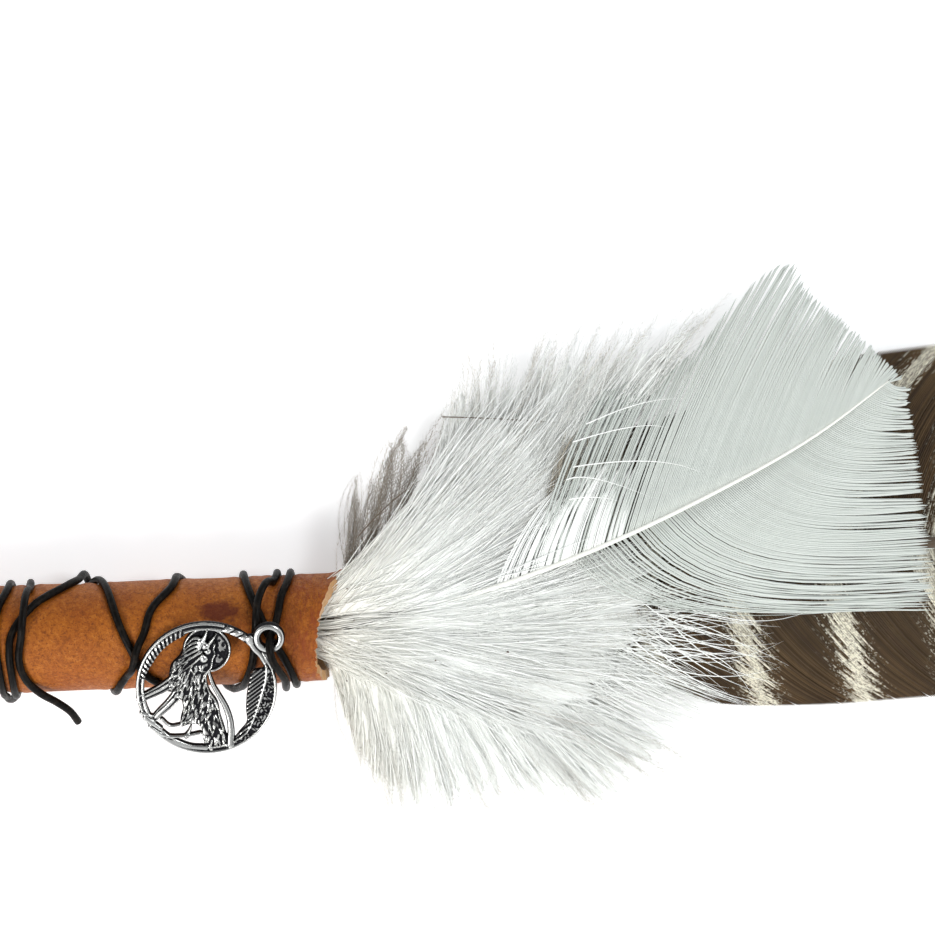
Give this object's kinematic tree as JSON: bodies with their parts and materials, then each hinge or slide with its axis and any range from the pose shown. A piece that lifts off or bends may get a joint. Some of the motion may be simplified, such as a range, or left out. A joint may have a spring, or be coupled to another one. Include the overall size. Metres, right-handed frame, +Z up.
{
  "type": "turkey smudge feather",
  "caption": "Turkey feather and white downy plumes set in a leather-wrapped handle, bound with black cord and a round silver wolf charm, lying flat.",
  "frame": {"origin": "bottom centre of the whole object as it lies on a surface, charm side up", "axes": "+X from the handle's butt to the feather's tip, +Y across it towards the upper edge of the picture, +Z up, towards the camera"},
  "size_m": [0.3088, 0.102, 0.0275],
  "materials": {
    "dowel_wood": "bare sanded wood, seen only at the butt",
    "tan_leather": "matt tan leather with fine grain, mottling, one dark red-brown stain and a pale suede edge",
    "black_cord": "round black leather cord with a soft gloss and fine cracks",
    "antique_silver": "cast antique silver, bright on the high places and blackened in the recesses",
    "barred_brown": "dark brown feather vane with mottled off-white bars and a pale shaft",
    "white_vane": "white feather vane with a soft silky sheen and an ivory shaft",
    "white_down": "loose white down"
  },
  "bodies": {
    "root": {"handle_core": "dowel_wood", "leather_wrap": "tan_leather", "binding_cord": "black_cord", "charm": "antique_silver", "barred_feather": "barred_brown", "white_feather_front": "white_vane", "white_plume_upper": "white_down", "white_plume_lower": "white_down"}
  },
  "joints": []
}
